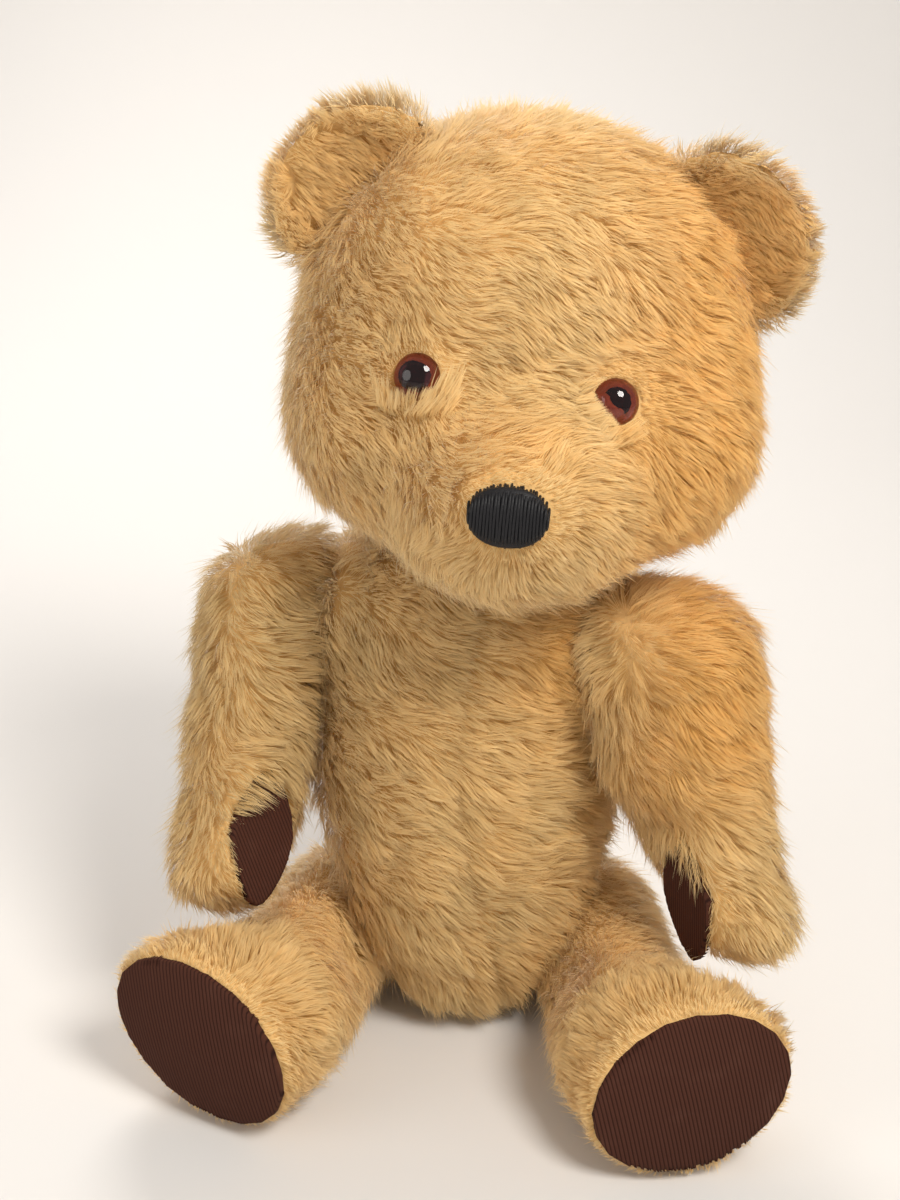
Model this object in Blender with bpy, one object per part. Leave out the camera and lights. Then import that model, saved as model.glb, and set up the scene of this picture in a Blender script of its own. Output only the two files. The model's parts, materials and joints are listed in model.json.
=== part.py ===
"""Jointed mohair teddy bear, sitting. Metres, +Z up, face towards -Y, seat on z = 0."""
import bpy
import bmesh
import math
import numpy as np
from mathutils import Matrix, Vector

# Clearances and cloth
GAP = 0.0003
SKIN = 0.0020
SEAM_DEPTH = 0.0022
HEAD_SEAM_DEPTH = 0.0014
SEAM_HALF_ANGLE = 6.0

# Torso, by height: centre x, centre y, half width, depth to the front, depth to the back
TORSO_TOP = 0.1590
TORSO_BODY = (
    (0.0000, 0.000, 0.010, 0.0190, 0.030, 0.0240),
    (0.0060, -0.001, 0.005, 0.0300, 0.041, 0.0350),
    (0.0200, -0.004, 0.001, 0.0410, 0.046, 0.0430),
    (0.0450, -0.008, 0.000, 0.0500, 0.048, 0.0460),
    (0.0700, -0.009, 0.000, 0.0525, 0.049, 0.0455),
    (0.1000, -0.010, 0.001, 0.0535, 0.046, 0.0430),
    (0.1300, -0.009, 0.002, 0.0525, 0.042, 0.0410),
    (0.1480, -0.008, 0.002, 0.0497, 0.039, 0.0390),
    (0.1590, -0.005, 0.003, 0.0375, 0.031, 0.0320),
)
BUM_START = 0.0190
BUM_REACH = 0.016

# Head: centre of its shape, and the rounded masses that it is stuffed to
HEAD_CENTRE = (0.002, -0.006, 0.2220)
HEAD_MASSES = (
    ((0.0005, 0.004, 0.2330), (0.0680, 0.0570, 0.0590)),
    ((-0.028, -0.008, 0.2030), (0.0420, 0.0460, 0.0390)),
    ((0.032, -0.008, 0.2030), (0.0420, 0.0460, 0.0390)),
    ((0.001, -0.051, 0.1940), (0.0320, 0.0350, 0.0280)),
    ((0.003, -0.042, 0.1790), (0.0340, 0.0300, 0.0170)),
    ((-0.003, 0.003, 0.1720), (0.0340, 0.0340, 0.0240)),
)
HEAD_BLEND = 0.014
GUSSET_ANGLE = 26.0

# Ears
EAR_ANGLE = {"right": 56.0, "left": 62.0}
EAR_REACH = 0.0270
EAR_HALF_WIDTH = 0.0300
EAR_HALF_THICKNESS = 0.0070
EAR_CUP = 0.0130
EAR_BACK = 0.0060

# Eyes, along their own axis from the pelt outwards
EYE_AIM = ((-0.029, -0.052, 0.2250), (0.0280, -0.053, 0.2225))
EYE_RADIUS = 0.0069
EYE_HEIGHT = 0.0058
EYE_SUNK = 0.0018
EYE_BACK = 0.0013
PUPIL_RADIUS = 0.0036
PUPIL_RISE = 0.0016
STEM_RADIUS = 0.0016
STEM_LENGTH = 0.0110
LOCK_RADIUS = 0.0060
LOCK_THICK = 0.0008
LOCK_DEPTH = 0.0085

# Nose
NOSE_AIM = (0.000, -0.086, 0.1975)
NOSE_SQUARE = 2.6
NOSE_HALF_WIDTH = 0.0122
NOSE_HALF_HEIGHT = 0.0090
NOSE_RISE = 0.0026
NOSE_STITCHES = 11
NOSE_STITCH_DEPTH = 0.0007

# Neck and limb joints: pivot on the joint plane, and the outward direction of the axis
NECK_PIVOT = (-0.004, 0.003, TORSO_TOP + 0.0002)
SHOULDERS = {
    "right": ((-0.0562, -0.001, 0.1335), (-0.990, -0.100, 0.050)),
    "left": ((0.0335, -0.0115, 0.1288), (0.900, -0.300, 0.260)),
}
HIPS = {
    "right": ((-0.0275, -0.008, 0.0305), (-0.849, 0.243, -0.469)),
    "left": ((0.0255, -0.006, 0.0305), (0.870, 0.153, -0.469)),
}
NECK_DISC_RADIUS = 0.0200
SHOULDER_DISC_RADIUS = 0.0132
HIP_DISC_RADIUS = 0.0136
DISC_THICK = 0.0025
WASHER_RADIUS = 0.0075
WASHER_THICK = 0.0010
WIRE_RADIUS = 0.0007
PIN_ROOM = 0.0046

# Depth of a limb's middle line from its joint plane, and how far its top leans back to the disc
LIMB_MIDDLE = 0.0174
DOME_LEAN = 0.60

# Arms, along the limb from the pivot: shift to the front, half width, half thickness
ARM_FORWARD = {"right": 32.0, "left": 10.0}
ARM_FULLNESS = {"right": 1.01, "left": 1.29}
HAND_OUT = {"right": 0.0070, "left": 0.0218}
ARM_TOP = 0.0235
ARM_END = 0.0992
ARM_BODY = (
    (0.000, 0.0000, 0.0240, 0.0214),
    (0.030, -0.0010, 0.0232, 0.0216),
    (0.060, -0.0010, 0.0206, 0.0203),
    (0.078, 0.0020, 0.0185, 0.0175),
    (0.090, 0.0050, 0.0172, 0.0162),
    (0.100, 0.0080, 0.0160, 0.0150),
)
ARM_TIP = 0.0130
PALM_HALF_LENGTH = 0.0212
PALM_CENTRE = ARM_END - PALM_HALF_LENGTH - 0.0020
PALM_TURN = 48.0
PALM_SHAVE = 0.86
PALM_HALF_WIDTH = 0.0125

# Legs, along the limb from the pivot: shift to the toe, half width, half thickness, twist, shift outwards
LEG_SPLAY = {"right": 17.0, "left": 11.0}
LEG_RISE = 2.5
LEG_TWIST = {"right": 1.2, "left": 1.4}
LEG_TOP = 0.0235
LEG_BODY = (
    (0.000, 0.0000, 0.0235, 0.0212, 0.0, 0.0000),
    (0.028, -0.0010, 0.0228, 0.0206, 3.0, 0.0000),
    (0.050, -0.0020, 0.0236, 0.0215, 9.0, -0.0010),
    (0.068, 0.0010, 0.0260, 0.0234, 17.0, -0.0004),
    (0.084, 0.0056, 0.0317, 0.0264, 25.0, 0.0006),
    (0.095, 0.0074, 0.0337, 0.0272, 28.0, 0.0016),
)
SOLE_AT = 0.1000
FOOT_OVERHANG = 0.0138
SOLE_TURN = {"right": (8.0, 0.0), "left": (-3.0, 8.0)}
SOLE_DOME = 0.0030
SOLE_HALF_LENGTH = 0.0310
SOLE_HALF_WIDTH = 0.0238
PAD_THICK = 0.0013
PAD_SUNK = 0.0020

# How finely the soft forms are drawn
DISC_SIDES = 10
EYE_SIDES = 12
LIMB_COLUMNS = 16
TORSO_COLUMNS = 24
HEAD_COLUMNS = 30
HEAD_RINGS = 19


def unit(v):
    v = np.asarray(v, float)
    return v / np.linalg.norm(v)


def turned_about(v, axis, degrees):
    return np.array(Matrix.Rotation(math.radians(degrees), 3, Vector(axis)) @ Vector(v))


def hermite(table, at):
    """Smooth values of every column of the table at the given places of its first column."""
    table = np.asarray(table, float)
    key, val = table[:, 0], table[:, 1:]
    slope = np.gradient(val, key, axis=0)
    at = np.atleast_1d(at)
    i = np.clip(np.searchsorted(key, at) - 1, 0, len(key) - 2)
    h = (key[i + 1] - key[i])[:, None]
    t = ((at - key[i]) / h[:, 0])[:, None]
    return ((2 * t**3 - 3 * t**2 + 1) * val[i] + (t**3 - 2 * t**2 + t) * h * slope[i]
            + (3 * t**2 - 2 * t**3) * val[i + 1] + (t**3 - t**2) * h * slope[i + 1])


def columns(count, seams):
    """Angles round a section, with three close ones at each seam, and which are on a seam."""
    near = [s + d for s in seams for d in (-SEAM_HALF_ANGLE, 0.0, SEAM_HALF_ANGLE)]
    step = 360.0 / count
    plain = [a for a in np.arange(count) * step
             if min(abs((a - s + 180) % 360 - 180) for s in near) > step * 0.45]
    angles = sorted([a % 360 for a in near] + plain)
    on_seam = [min(abs((a - s + 180) % 360 - 180) for s in seams) < 0.1 for a in angles]
    return np.radians(angles), np.array(on_seam)


def solid_from_rings(name, rings, first, last, material, parent):
    """Closed body through equal rings, closed by a fan at each end."""
    n = len(rings[0])
    points = [first] + [p for ring in rings for p in ring] + [last]
    faces = [(0, 1 + (j + 1) % n, 1 + j) for j in range(n)]
    for i in range(len(rings) - 1):
        low, high = 1 + i * n, 1 + (i + 1) * n
        faces += [(low + j, low + (j + 1) % n, high + (j + 1) % n, high + j) for j in range(n)]
    end, low = len(points) - 1, 1 + (len(rings) - 1) * n
    faces += [(low + j, low + (j + 1) % n, end) for j in range(n)]
    return add_mesh(name, points, faces, material, parent)


def add_mesh(name, points, faces, material, parent, sharp=50.0):
    mesh = bpy.data.meshes.new(name)
    mesh.from_pydata([tuple(p) for p in points], [], faces)
    work = bmesh.new()
    work.from_mesh(mesh)
    bmesh.ops.recalc_face_normals(work, faces=work.faces)
    work.to_mesh(mesh)
    work.free()
    mesh.transform(Matrix.Translation(-Vector(parent.location)))
    mesh.shade_smooth()
    mesh.set_sharp_from_angle(angle=math.radians(sharp))
    piece = bpy.data.objects.new(name, mesh)
    piece.parent = parent
    bpy.context.collection.objects.link(piece)
    if material is not None:
        mesh.materials.append(material)
    return piece


def turned(name, profile, origin, axis, sides, material, parent):
    """Solid of revolution: (radius, place along the axis) pairs, open or with its own bore."""
    axis = unit(axis)
    side = unit(np.cross(axis, (0.31, 0.85, 0.42)))
    other = np.cross(axis, side)
    turn = np.arange(sides) * 2 * math.pi / sides
    spoke = np.cos(turn)[:, None] * side + np.sin(turn)[:, None] * other
    rings = [np.asarray(origin) + axis * z + spoke * r for r, z in profile if r > 0]
    if profile[0][0] == 0:
        ends = [np.asarray(origin) + axis * profile[k][1] for k in (0, -1)]
        return solid_from_rings(name, rings, ends[0], ends[1], material, parent)
    points = [p for ring in rings for p in ring]
    faces = []
    for i in range(len(rings)):
        low, high = i * sides, (i + 1) % len(rings) * sides
        faces += [(low + j, low + (j + 1) % sides, high + (j + 1) % sides, high + j)
                  for j in range(sides)]
    return add_mesh(name, points, faces, material, parent, 30.0)


def cut(piece, cutter):
    cutter.hide_render = True
    cutter.display_type = "WIRE"
    step = piece.modifiers.new(cutter.name, "BOOLEAN")
    step.operation = "DIFFERENCE"
    step.solver = "EXACT"
    step.object = cutter


def add_material(name, colour, roughness, metallic=0.0):
    material = bpy.data.materials.new(name)
    material.use_nodes = True
    shader = material.node_tree.nodes["Principled BSDF"]
    shader.inputs["Base Color"].default_value = (*colour, 1.0)
    shader.inputs["Roughness"].default_value = roughness
    shader.inputs["Metallic"].default_value = metallic
    return material


def add_pivot(name, place):
    pivot = bpy.data.objects.new(name, None)
    pivot.location = place
    pivot.empty_display_size = 0.02
    bpy.context.collection.objects.link(pivot)
    return pivot


def torso(material, parent):
    """Stuffed body: level sections, flattened where a limb's disc is drawn against it."""
    heights = np.array([0.0, 0.003, 0.010, 0.020, 0.032, 0.045, 0.058, 0.072, 0.086, 0.100,
                        0.114, 0.127, 0.138, 0.147, 0.154, TORSO_TOP])
    angle, on_seam = columns(TORSO_COLUMNS, (90.0, 270.0))
    rings = []
    for z, (cx, cy, half, front, back) in zip(heights, hermite(TORSO_BODY, heights)):
        depth = np.where(np.sin(angle) < 0, front, back)
        inset = 1 - on_seam * min(SEAM_DEPTH, z / 4, (TORSO_TOP - z) / 4) / half
        x = cx + half * np.cos(angle) * inset
        y = cy + depth * np.sin(angle) * inset
        rings.append(np.stack([x, y, np.full(len(x), z)], 1))
    rings = np.array(rings)
    for place, axis in SHOULDERS.values():
        rings = drawn_flat(rings, place, axis, np.zeros(rings.shape[:2]))
    for place, axis in HIPS.values():
        behind = np.clip((rings[..., 1] - BUM_START) / 0.030, 0, 1)
        rings = drawn_flat(rings, place, axis, BUM_REACH * behind**2 * (3 - 2 * behind))
    rings[0, :, 2] = 0.0
    rings[-1, :, 2] = TORSO_TOP
    first = rings[0].mean(0)
    last = rings[-1].mean(0)
    return solid_from_rings("torso", rings, first, last, material, parent)


def drawn_flat(points, place, axis, reach):
    """Points that stand past the joint plane are drawn back level with it, in line with the axis."""
    axis = unit(axis)
    past = (points - np.asarray(place)) @ axis - (reach - GAP)
    flat = axis - np.array([0, 0, axis[2]])
    return points - np.clip(past, 0, None)[..., None] * flat / (flat @ axis)


def rounded_mass(points, centre, radii):
    q = points - np.asarray(centre)
    k = np.linalg.norm(q / np.asarray(radii), axis=-1)
    return np.linalg.norm(q, axis=-1) * (1 - 1 / np.maximum(k, 1e-6))


def head_field(points):
    value = rounded_mass(points, *HEAD_MASSES[0])
    for mass in HEAD_MASSES[1:]:
        other = rounded_mass(points, *mass)
        mix = np.clip(0.5 + 0.5 * (other - value) / HEAD_BLEND, 0, 1)
        value = other + (value - other) * mix - HEAD_BLEND * mix * (1 - mix)
    return value


def head_surface(directions, swell=0.0):
    """Point of the head's surface in each direction from its centre."""
    directions = directions / np.linalg.norm(directions, axis=-1, keepdims=True)
    low = np.full(directions.shape[:-1], 0.020)
    high = np.full(directions.shape[:-1], 0.120)
    for _ in range(26):
        middle = (low + high) / 2
        inside = head_field(np.asarray(HEAD_CENTRE) + directions * middle[..., None]) < swell
        low = np.where(inside, middle, low)
        high = np.where(inside, high, middle)
    points = np.asarray(HEAD_CENTRE) + directions * low[..., None]
    floor = TORSO_TOP + 2 * GAP - swell
    over = (points[..., 2] - HEAD_CENTRE[2]) / (floor - HEAD_CENTRE[2])
    return np.asarray(HEAD_CENTRE) + (points - np.asarray(HEAD_CENTRE)) / np.maximum(over, 1)[..., None]


def head_point(aim):
    return head_surface(np.asarray(aim) - np.asarray(HEAD_CENTRE))


def head_normal(aim):
    """Outward direction of the head's surface at the aimed point."""
    at = head_point(aim)
    step = np.eye(3) * 1e-4
    return unit([head_field(at + s) - head_field(at - s) for s in step])


def head(name, material, parent, swell=0.0, seam=HEAD_SEAM_DEPTH):
    """Gusseted head: rings round the line from the back of the head to the nose."""
    angle, on_seam = columns(HEAD_COLUMNS, (90.0 - GUSSET_ANGLE, 90.0 + GUSSET_ANGLE, 270.0))
    rings = []
    for tilt in np.radians(np.linspace(180 / (HEAD_RINGS + 1), 180 - 180 / (HEAD_RINGS + 1), HEAD_RINGS)):
        across = np.sin(tilt)
        way = np.stack([across * np.cos(angle), np.full(len(angle), -np.cos(tilt)),
                        across * np.sin(angle)], 1)
        points = head_surface(way, swell)
        depth = seam * on_seam * min(1.0, (1 - abs(np.cos(tilt))) * 4)
        level = points[:, 2] > TORSO_TOP + 4 * GAP
        rings.append(points - way * (depth * level)[:, None])
    ends = [head_surface(np.array([0.0, y, 0.0]), swell) for y in (-1.0, 1.0)]
    return solid_from_rings(name, rings, ends[0], ends[1], material, parent)


def ear(side, sign, head_cutter, material, parent):
    """Cupped ear, cut to the head's curve where it is sewn on."""
    lean = math.radians(EAR_ANGLE[side])
    out = np.array([sign * math.sin(lean), 0, math.cos(lean)])
    along = np.array([sign * math.cos(lean), 0, -math.sin(lean)])
    aim = np.asarray(HEAD_CENTRE) + out * 0.05 + np.array([0, EAR_BACK, 0.006])
    base = head_point(aim) - out * 0.004
    rings = []
    for lat in np.radians((14, 36, 58, 76, 90, 104, 122, 144, 166)):
        turn = np.arange(16) * 2 * math.pi / 16
        flat = math.sin(lat)
        up = EAR_REACH * flat * np.cos(turn)
        wide = EAR_HALF_WIDTH * flat * np.sin(turn)
        reach = (up / EAR_REACH)**2 + (wide / EAR_HALF_WIDTH)**2
        front = EAR_HALF_THICKNESS * math.cos(lat) + EAR_CUP * reach * np.clip(0.4 + up / EAR_REACH, 0, 1)
        rings.append(base + up[:, None] * out + wide[:, None] * along - front[:, None] * np.array([0, 1, 0]))
    ends = [base - np.array([0, EAR_HALF_THICKNESS * k, 0]) for k in (1, -1)]
    piece = solid_from_rings("ear_" + side, rings, ends[0], ends[1], material, parent)
    cut(piece, head_cutter)


def eye(side, aim, amber, black, steel, head_piece, parent):
    """Plastic eye on a stem, held behind the pelt by a toothed lock washer."""
    at, axis = head_point(aim), head_normal(aim)
    axis = unit(axis + np.array([0, -0.5, 0.1]))
    low = -EYE_SUNK
    dome = [(0, low + PUPIL_RISE + GAP), (PUPIL_RADIUS + GAP, low + PUPIL_RISE + GAP),
            (PUPIL_RADIUS + GAP, low), (EYE_RADIUS, low)]
    dome += [(EYE_RADIUS * math.cos(math.radians(t)), low + EYE_HEIGHT * math.sin(math.radians(t)))
             for t in (22, 46, 70)]
    dome += [(0, low + EYE_HEIGHT)]
    turned("eye_dome_" + side, dome, at, axis, EYE_SIDES, amber, parent)
    back = low - GAP
    pupil = [(0, low + PUPIL_RISE), (PUPIL_RADIUS, low + PUPIL_RISE), (PUPIL_RADIUS, back),
             (EYE_RADIUS, back), (EYE_RADIUS, back - EYE_BACK), (STEM_RADIUS, back - EYE_BACK),
             (STEM_RADIUS, back - STEM_LENGTH), (0, back - STEM_LENGTH)]
    turned("eye_pupil_" + side, pupil, at, axis, EYE_SIDES, black, parent)
    bore = STEM_RADIUS + GAP
    lock = [(bore, -LOCK_DEPTH), (LOCK_RADIUS, -LOCK_DEPTH), (LOCK_RADIUS, -LOCK_DEPTH - LOCK_THICK),
            (bore, -LOCK_DEPTH - LOCK_THICK)]
    turned("eye_lock_washer_" + side, lock, at, axis, EYE_SIDES, steel, parent)
    room = [(0, 0.015), (EYE_RADIUS + GAP, 0.015), (EYE_RADIUS + GAP, back - EYE_BACK - GAP),
            (bore, back - EYE_BACK - GAP), (bore, -LOCK_DEPTH + GAP), (LOCK_RADIUS + GAP, -LOCK_DEPTH + GAP),
            (LOCK_RADIUS + GAP, -LOCK_DEPTH - LOCK_THICK - GAP), (bore, -LOCK_DEPTH - LOCK_THICK - GAP),
            (bore, back - STEM_LENGTH - GAP), (0, back - STEM_LENGTH - GAP)]
    cut(head_piece, turned("eye_room_" + side, room, at, axis, EYE_SIDES, None, parent))


def nose(material, parent):
    """Embroidered nose: upright satin stitches over a padded oval, close to the muzzle."""
    normal = head_normal(NOSE_AIM)
    across = unit(np.cross((0, 0, 1), normal))
    upward = np.cross(normal, across)
    count, rows = 2 * NOSE_STITCHES + 1, 5
    us = np.linspace(-1, 1, count)
    grid_top, grid_low = [], []
    for u in us:
        limit = (1 - abs(u)**NOSE_SQUARE)**(1 / NOSE_SQUARE) if abs(u) < 1 else 0.45
        limit = max(limit, 0.45)
        ridge = NOSE_STITCH_DEPTH * (1 if round((u + 1) * (count - 1) / 2) % 2 else 0)
        for v in np.linspace(-limit, limit, rows):
            aim = head_point(NOSE_AIM) + across * u * NOSE_HALF_WIDTH + upward * v * NOSE_HALF_HEIGHT
            base = head_point(aim)
            bulge = max(0.0, 1 - 0.75 * u**4 - 0.75 * v**4)
            grid_low.append(base + normal * (2 * GAP))
            grid_top.append(base + normal * (2 * GAP + 0.0009 + (NOSE_RISE - ridge) * bulge))
    points = grid_top + grid_low
    under = len(grid_top)
    faces = []
    for i in range(count - 1):
        for j in range(rows - 1):
            a, b, c, d = i * rows + j, i * rows + j + 1, (i + 1) * rows + j + 1, (i + 1) * rows + j
            faces += [(a, b, c, d), (under + d, under + c, under + b, under + a)]
        faces += [(a, a + rows, under + a + rows, under + a) for a in (i * rows, i * rows + rows - 1)]
    for i in (0, count - 1):
        faces += [(a, a + 1, under + a + 1, under + a) for a in range(i * rows, i * rows + rows - 1)]
    return add_mesh("nose", points, faces, material, parent, 80.0)


def limb_frame(place, axis, way):
    """Pivot, unit outward axis, and the direction along the limb, square to the axis."""
    axis = unit(axis)
    way = unit(np.asarray(way) - axis * (np.asarray(way) @ axis))
    return np.asarray(place), axis, way


def domed_end(radius, steps):
    """Places and scales of the rings that round off a limb's top."""
    return [(-radius * math.cos(t), math.sin(t)) for t in np.radians(steps)]


def arm_section(side, s):
    """Shift to the front, half width, half thickness and outward middle of an arm's section."""
    shift, half_width, half_thick = hermite(ARM_BODY, s)[0]
    near_hand = min(max((s - 0.030) / 0.055, 0.0), 1.0)
    full = ARM_FULLNESS[side] + (1.0 - ARM_FULLNESS[side]) * near_hand
    middle = LIMB_MIDDLE * full + HAND_OUT[side] * near_hand**2
    return shift, half_width * full, half_thick * full, middle


def arm(side, joint, material, parent):
    """Bent stuffed arm with a shaved palm that takes the paw pad."""
    place, axis, way, front = joint
    angle, on_seam = columns(LIMB_COLUMNS, (90.0, 270.0))
    rings = []
    stations = [(s, 0.0, k) for s, k in domed_end(ARM_TOP, (16, 34, 54, 74))]
    stations += [(s, s, 1.0) for s in (0.0, 0.018, 0.036, 0.052, 0.064, 0.074, 0.082)]
    stations += [(ARM_END - ARM_TIP + ARM_TIP * math.sin(t), ARM_END - ARM_TIP, math.cos(t))
                 for t in np.radians((20, 44, 68, 82))]
    palm = front * math.sin(math.radians(PALM_TURN)) - axis * math.cos(math.radians(PALM_TURN))
    for s, key, scale in stations:
        shift, half_width, half_thick, middle = arm_section(side, key)
        middle -= DOME_LEAN * half_thick * (1 - scale) * (s < 0)
        half_width, half_thick = half_width * scale, half_thick * scale
        f = half_width * np.sin(angle) * (1 - on_seam * 0.06 * (scale > 0.5))
        a = half_thick * np.cos(angle)
        f, a = f + shift, np.maximum(a + middle, GAP)
        rings.append(place + np.outer(f, front) + np.outer(a, axis) + way * s)
    rings = np.array(rings)
    shift, _, half_thick, middle = arm_section(side, PALM_CENTRE)
    core = place + way * PALM_CENTRE + front * shift + axis * middle
    level = half_thick * PALM_SHAVE
    near_palm = np.clip((np.array([s for s, _, _ in stations]) - 0.042) / 0.016, 0, 1)
    past = np.clip((rings - core) @ palm - level, 0, None) * near_palm[:, None]
    rings = rings - past[..., None] * palm
    shift, _, _, middle = arm_section(side, ARM_END)
    tip = place + way * ARM_END + front * shift + axis * middle
    _, _, half_thick, middle = arm_section(side, 0.0)
    top = place - way * ARM_TOP + axis * (middle - DOME_LEAN * half_thick)
    piece = solid_from_rings("arm_" + side, rings, top, tip, material, parent)
    return piece, core + palm * level, palm, way


def leg(side, joint, material, parent):
    """Stuffed leg, narrow above the ankle, with a broad foot twisted outwards."""
    place, axis, way, toe = joint
    angle, on_seam = columns(LIMB_COLUMNS, (90.0, 270.0))
    rings = []
    stations = [(s, 0.0, k) for s, k in domed_end(LEG_TOP, (16, 34, 54, 74))]
    stations += [(s, s, 1.0) for s in (0.0, 0.016, 0.032, 0.046, 0.058, 0.069, 0.079, 0.087)]
    stations += [(SOLE_AT - 0.0056, 0.095, 0.985), (SOLE_AT - 0.0018, 0.095, 0.940), (SOLE_AT, 0.095, 0.870)]
    turn_out, turn_up = SOLE_TURN[side]
    for s, key, scale in stations:
        shift, half_width, half_thick, twist, outwards = hermite(LEG_BODY, key)[0]
        t = math.radians(-twist * LEG_TWIST[side])
        flat = GAP - FOOT_OVERHANG * min(max((s - 0.046) / 0.025, 0.0), 1.0)
        middle = LIMB_MIDDLE + outwards
        f = half_width * scale * np.sin(angle) * (1 - on_seam * 0.05 * (scale > 0.5))
        a = half_thick * scale * np.cos(angle)
        f, a = f * math.cos(t) + a * math.sin(t), a * math.cos(t) - f * math.sin(t)
        leaned = middle - DOME_LEAN * half_thick * (1 - scale) * (s < 0)
        f, a = f + shift * math.cos(t), np.maximum(a + leaned - shift * math.sin(t), flat)
        near = max(0.0, (s - 0.060) / (SOLE_AT - 0.060))
        out = near * (math.tan(math.radians(turn_out)) * (a - middle))
        up = near * (math.tan(math.radians(turn_up)) * (f - shift))
        rings.append(place + np.outer(f, toe) + np.outer(a, axis) + np.outer(s - out - up, way))
    rings = np.array(rings)
    normal = unit(np.cross(rings[-1, 4] - rings[-1, 0], rings[-1, 9] - rings[-1, 0]))
    normal = normal * np.sign(normal @ way)
    sole = rings[-1].mean(0)
    t = math.radians(-hermite(LEG_BODY, 0.095)[0][3] * LEG_TWIST[side])
    long_way = toe * math.cos(t) - axis * math.sin(t)
    long_way = unit(long_way - normal * (long_way @ normal))
    top = place - way * LEG_TOP + axis * (LIMB_MIDDLE - DOME_LEAN * LEG_BODY[0][3])
    rings[..., 2] = np.maximum(rings[..., 2], 0.0)
    piece = solid_from_rings("leg_" + side, rings, top, sole + normal * SOLE_DOME, material, parent)
    return piece, sole, normal, long_way


def pad(name, limb_piece, sole, normal, long_way, half_length, half_width, point, dome, material, parent):
    """Cloth pad let into a limb: an oval or leaf-shaped plate, with room of one gap about it."""
    wide = np.cross(normal, long_way)
    turn = np.arange(20) * 2 * math.pi / 20

    def plate(label, grow, low, high, cloth):
        along = np.cos(turn)
        across = np.sin(turn) * (1 - point * np.abs(np.cos(turn))**1.5)
        rings = []
        for level, scale in ((low, 0.6), (low, 1.0), (high, 1.0), (high, 0.6)):
            lift = dome * (1 - scale**2)
            rings.append(sole + np.outer(along * scale * (half_length + grow), long_way)
                         + np.outer(across * scale * (half_width + grow), wide) + normal * (level + lift))
        return solid_from_rings(label, rings, sole + normal * (low + dome), sole + normal * (high + dome),
                                cloth, parent)

    low = -PAD_SUNK
    plate(name, 0.0, low, low + PAD_THICK, material)
    cut(limb_piece, plate(name + "_room", 2 * GAP, low - GAP, 0.008, None))


def joint_stack(name, place, axis, disc_radius, board, steel, limb_piece, torso_piece, limb_parent, root):
    """Split pin joint: board and washer in each half, and one pin rolled over inside the torso."""
    axis = unit(axis)
    bore = 2 * WIRE_RADIUS + 0.0004 + GAP
    board_low = SKIN + GAP
    board_high = board_low + DISC_THICK
    washer_low = board_high + GAP
    washer_high = washer_low + WASHER_THICK
    room_end = washer_high + GAP + PIN_ROOM
    for half, sign, parent in (("limb", 1, limb_parent), ("body", -1, root)):
        for label, radius, low, high, kind in (("disc", disc_radius, board_low, board_high, board),
                                               ("washer", WASHER_RADIUS, washer_low, washer_high, steel)):
            ring = [(bore, sign * low), (radius, sign * low), (radius, sign * high), (bore, sign * high)]
            turned("_".join((name, half, label)), ring, place, axis, DISC_SIDES, kind, parent)
        wide, narrow = disc_radius + GAP, WASHER_RADIUS + GAP
        room = [(0, -sign * 0.0006), (bore, -sign * 0.0006), (bore, sign * SKIN), (wide, sign * SKIN),
                (wide, sign * (board_high + GAP)), (narrow, sign * (board_high + GAP)),
                (narrow, sign * room_end), (0, sign * room_end)]
        piece = limb_piece if sign > 0 else torso_piece
        cut(piece, turned("_".join((name, half, "room")), room, place, axis, DISC_SIDES, None, parent))
    split_pin(name + "_pin", place, axis, washer_high + GAP, steel, root)


def split_pin(name, place, axis, seat, material, parent):
    """One wire bent to an eye in the limb, its two ends rolled back in the torso."""
    axis = unit(axis)
    side = unit(np.cross(axis, (0.2, 0.4, 0.9)))
    half = WIRE_RADIUS + 0.0001
    head = [(half, seat + WIRE_RADIUS), (0.0020, seat + 0.0016), (0.0023, seat + 0.0027),
            (0.0013, seat + 0.0038)]
    tail = [(half, -seat - WIRE_RADIUS), (0.0017, -seat - 0.0030), (0.0036, -seat - 0.0037),
            (0.0055, -seat - 0.0026), (0.0056, -seat - 0.0010)]
    right = tail[::-1] + [(half, 0.0)] + head
    path = right + [(-u, v) for u, v in right[::-1]]
    path = [np.asarray(place) + side * u + axis * v for u, v in path]
    rings = []
    across = np.cross(axis, side)
    for i, point in enumerate(path):
        way = unit(path[min(i + 1, len(path) - 1)] - path[max(i - 1, 0)])
        other = unit(np.cross(way, across))
        turn = np.arange(5) * math.pi * 0.4
        rings.append(point + WIRE_RADIUS * (np.outer(np.cos(turn), across) + np.outer(np.sin(turn), other)))
    return solid_from_rings(name, rings, path[0], path[-1], material, parent)


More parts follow.
